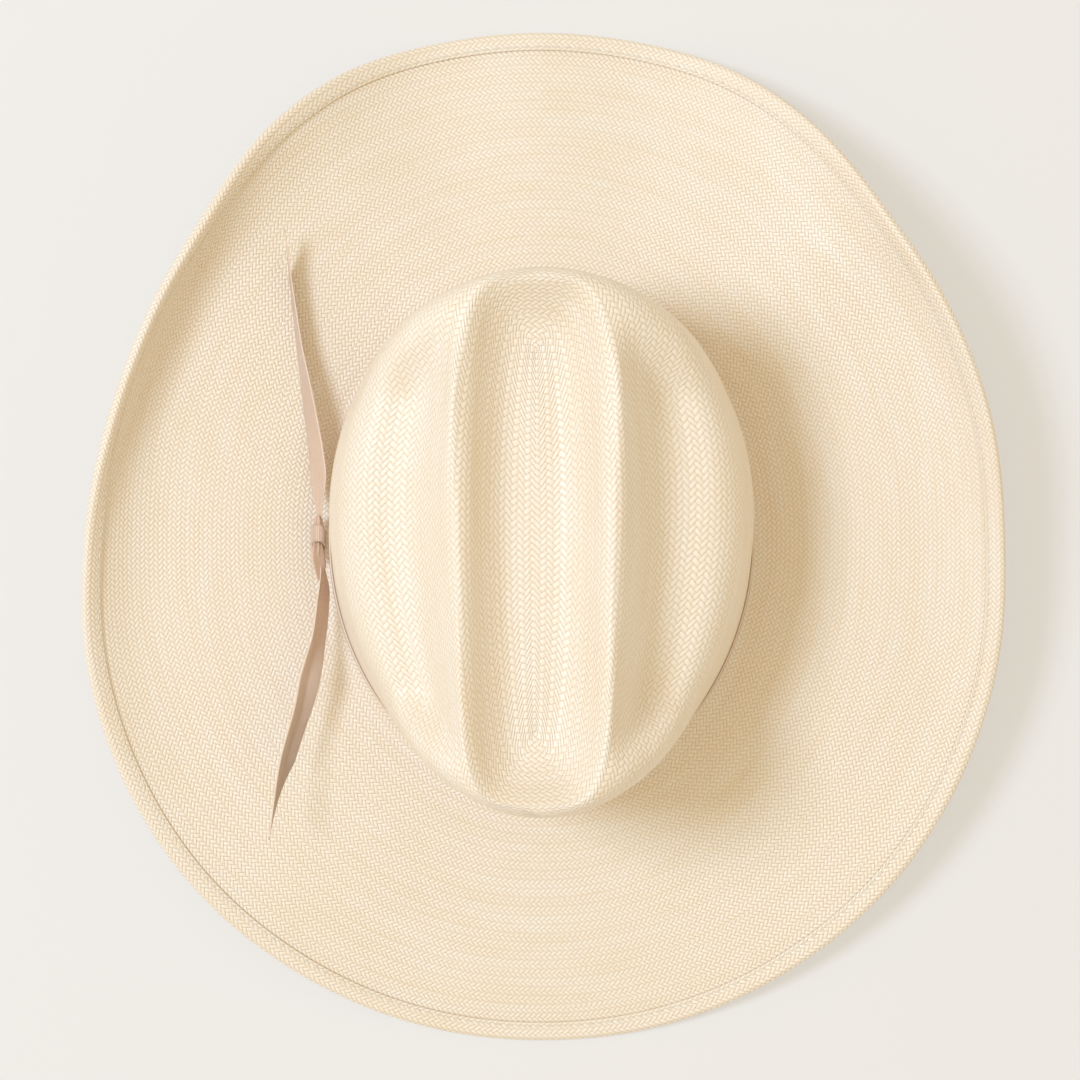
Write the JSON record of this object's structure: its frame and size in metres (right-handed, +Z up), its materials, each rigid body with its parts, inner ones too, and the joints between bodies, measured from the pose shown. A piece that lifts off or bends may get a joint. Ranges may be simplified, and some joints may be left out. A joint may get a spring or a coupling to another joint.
{
  "type": "cowboy hat",
  "caption": "Woven straw cowboy hat with a creased cattleman crown, curled wired brim, leather sweatband and a knotted ribbon hatband with loose tails.",
  "frame": {"origin": "middle of the hat's outer box, on the surface that it stands on", "axes": "+Z up, -Y to the front of the hat, +X to the wearer's left, where the ribbon is tied"},
  "size_m": [0.3692, 0.4138, 0.1353],
  "materials": {
    "straw": "satin",
    "straw_binding": "satin",
    "wire": "satin",
    "thread": "matte",
    "sweatband_leather": "satin",
    "cotton_tape": "matte",
    "reed": "matte",
    "ribbon": "matte"
  },
  "bodies": {
    "hat": {"straw_body": "straw", "edge_binding": "straw_binding", "edge_wire": "wire", "edge_stitching_upper": "thread", "edge_stitching_under": "thread", "sweatband": "sweatband_leather", "reed_tape": "cotton_tape", "sweatband_reed": "reed", "sweatband_stitching": "thread", "sweatband_seam_tape": "ribbon", "sweatband_bow": "ribbon", "sweatband_bow_knot": "ribbon", "hatband": "ribbon", "hatband_tack_front": "thread", "hatband_tack_back": "thread", "hatband_tack_right": "thread", "hatband_knot": "ribbon", "hatband_knot_wrap": "ribbon"},
    "front_tail": {"bow_tail_front": "ribbon"},
    "rear_tail": {"bow_tail_rear": "ribbon"}
  },
  "joints": [
    {"name": "front_tail_lift", "type": "hinge", "parent": "hat", "child": "front_tail", "pos_m": [0.09088, -0.00875, 0.0366], "axis": [-1, 0, 0], "range_deg": [0, 60]},
    {"name": "rear_tail_lift", "type": "hinge", "parent": "hat", "child": "rear_tail", "pos_m": [0.09088, 0.01045, 0.0366], "axis": [1, 0, 0], "range_deg": [0, 60]}
  ]
}
